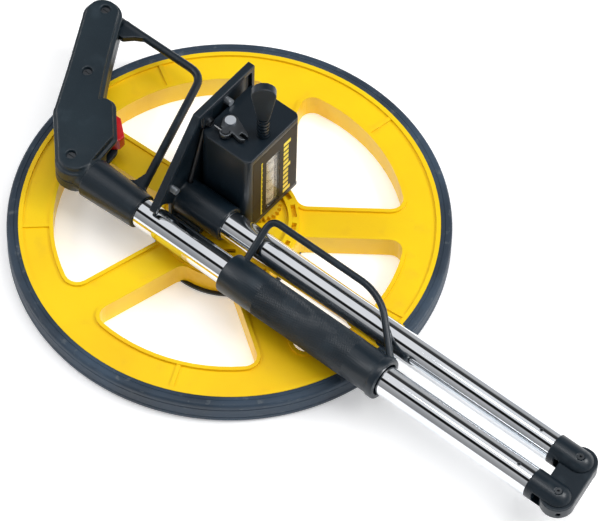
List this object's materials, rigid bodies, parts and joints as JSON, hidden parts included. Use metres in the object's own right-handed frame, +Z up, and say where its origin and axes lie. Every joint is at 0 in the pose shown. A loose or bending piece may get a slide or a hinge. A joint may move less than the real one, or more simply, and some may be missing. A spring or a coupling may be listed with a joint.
{
  "type": "measuring wheel",
  "caption": "Folding walking-distance wheel: spoked wheel with gear-driven drum counter, rim brake trigger, two hinged chrome tubes, sliding lock sleeve and pistol grip.",
  "frame": {"origin": "the wheel's axis at the floor that the wheel lies on, at the middle of the hub cover's outer face", "axes": "+Z up along the wheel's axis, +X along the tubes from the wheel to the hinge, +Y towards the counter's side"},
  "size_m": [0.5292, 0.3182, 0.161],
  "materials": {
    "tyre_rubber": "matte",
    "yellow_plastic": "satin",
    "black_plastic": "satin",
    "steel": "satin",
    "chrome": "polished",
    "nylon": "satin",
    "drum_plastic": "satin",
    "face_print": "printed",
    "clear_window": "clear",
    "brake_lining": "matte",
    "cable_sheath": "satin",
    "red_plastic": "gloss"
  },
  "bodies": {
    "head": {"bracket": "black_plastic", "bracket_screws": "steel", "counter_housing": "black_plastic", "housing_screws": "steel", "counter_face": "face_print", "counter_window": "clear_window", "counter_chassis": "steel", "axle": "steel", "axle_clip": "steel", "lower_tube": "chrome", "lower_knuckle": "black_plastic", "lower_rivets": "steel", "cable_adjuster": "steel", "brake_cable_lower": "cable_sheath"},
    "road_wheel": {"tyre": "tyre_rubber", "wheel": "yellow_plastic", "hub_cover": "black_plastic", "cover_screws": "steel", "wheel_bearings": "steel", "drive_gear": "nylon"},
    "counter": {"counter_pinion": "nylon", "counter_shaft": "steel", "number_drum_1": "drum_plastic"},
    "drum_2": {"number_drum_2": "drum_plastic"},
    "drum_3": {"number_drum_3": "drum_plastic"},
    "drum_4": {"number_drum_4": "drum_plastic"},
    "drum_5": {"number_drum_5": "drum_plastic"},
    "reset": {"reset_knob": "black_plastic", "reset_stem": "black_plastic"},
    "brake": {"brake_spindle": "chrome", "brake_arm": "steel", "brake_shoe": "steel", "brake_pad": "brake_lining", "cable_clamp": "steel", "brake_wire": "steel"},
    "link": {"hinge_link": "black_plastic", "hinge_pins": "steel", "brake_cable_link": "cable_sheath"},
    "shaft": {"upper_tube": "chrome", "upper_knuckle": "black_plastic", "upper_rivets": "steel", "hand_guard": "black_plastic", "grip_upper_shell": "black_plastic", "grip_lower_shell": "black_plastic", "grip_screws": "steel", "trigger_pin": "steel", "trigger_spring": "steel", "brake_cable_upper": "cable_sheath"},
    "trigger_body": {"trigger": "red_plastic"},
    "sleeve": {"locking_sleeve": "black_plastic", "loop_handle": "black_plastic"}
  },
  "joints": [
    {"name": "wheel_spin", "type": "hinge", "parent": "head", "child": "road_wheel", "pos_m": [0, 0, 0.01], "axis": [0, 0, 1], "continuous": true},
    {"name": "counter_spin", "type": "hinge", "parent": "head", "child": "counter", "pos_m": [0.01, 0.024, 0.05], "axis": [0, 0, 1], "continuous": true},
    {"name": "drum_2_spin", "type": "hinge", "parent": "head", "child": "drum_2", "pos_m": [0.01, 0.024, 0.05], "axis": [0, 0, 1], "continuous": true},
    {"name": "drum_3_spin", "type": "hinge", "parent": "head", "child": "drum_3", "pos_m": [0.01, 0.024, 0.05], "axis": [0, 0, 1], "continuous": true},
    {"name": "drum_4_spin", "type": "hinge", "parent": "head", "child": "drum_4", "pos_m": [0.01, 0.024, 0.05], "axis": [0, 0, 1], "continuous": true},
    {"name": "drum_5_spin", "type": "hinge", "parent": "head", "child": "drum_5", "pos_m": [0.01, 0.024, 0.05], "axis": [0, 0, 1], "continuous": true},
    {"name": "reset_turn", "type": "hinge", "parent": "head", "child": "reset", "pos_m": [0.01, 0.024, 0.11], "axis": [0, 0, 1], "range_deg": [0, 350]},
    {"name": "link_fold", "type": "hinge", "parent": "head", "child": "link", "pos_m": [0.3243, -0.016, 0.042], "axis": [0, 0, 1], "range_deg": [0, 80.98]},
    {"name": "shaft_fold", "type": "hinge", "parent": "link", "child": "shaft", "pos_m": [0.3293, -0.0475, 0.042], "axis": [0, 0, 1], "range_deg": [0, 99.02]},
    {"name": "sleeve_slide", "type": "slide", "parent": "shaft", "child": "sleeve", "axis": [1, 0, 0], "range_m": [-0.012, 0.118]},
    {"name": "trigger_pull", "type": "hinge", "parent": "shaft", "child": "trigger_body", "pos_m": [-0.116, -0.001, 0.042], "axis": [0, 0, 1], "range_deg": [-14, 0], "stiffness_Nm_per_rad": 0.4, "springref_deg": 8.59},
    {"name": "brake_turn", "type": "hinge", "parent": "head", "child": "brake", "pos_m": [-0.0125, 0.0152, 0.07], "axis": [0, 0, 1], "range_deg": [-12.6, 0]}
  ],
  "couplings": [
    {"joint": "counter_spin", "follows": "wheel_spin", "ratio": -1},
    {"joint": "drum_2_spin", "follows": "wheel_spin", "ratio": -0.1},
    {"joint": "drum_3_spin", "follows": "wheel_spin", "ratio": -0.01},
    {"joint": "drum_4_spin", "follows": "wheel_spin", "ratio": -0.001},
    {"joint": "drum_5_spin", "follows": "wheel_spin", "ratio": -0.0001},
    {"joint": "shaft_fold", "follows": "link_fold", "ratio": 1.2228},
    {"joint": "brake_turn", "follows": "trigger_pull", "ratio": 0.88}
  ]
}
